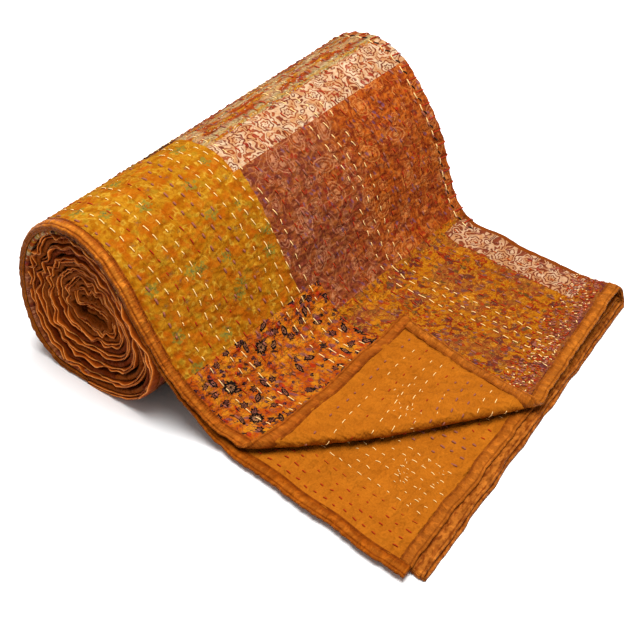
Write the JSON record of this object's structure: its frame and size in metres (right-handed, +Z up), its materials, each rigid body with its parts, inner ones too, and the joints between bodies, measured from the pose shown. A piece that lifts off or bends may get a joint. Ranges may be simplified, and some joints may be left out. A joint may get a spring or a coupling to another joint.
{
  "type": "kantha quilt",
  "caption": "Hand-stitched patchwork quilt, folded lengthwise and rolled up, its loose end laid flat with one corner turned back.",
  "frame": {"origin": "on the surface it rests on, below the middle of the whole", "axes": "+X along the roll's axis, away from the end that shows the bound edges; +Z up; the loose end reaches towards -Y"},
  "size_m": [0.381, 0.423, 0.1553],
  "materials": {
    "patchwork": "matt quilted cotton patchwork, running stitches all over",
    "binding": "plain woven binding with a low sheen"
  },
  "bodies": {
    "root": {"quilt": "patchwork", "binding_end": "binding", "binding_top": "binding", "binding_under": "binding"}
  },
  "joints": []
}
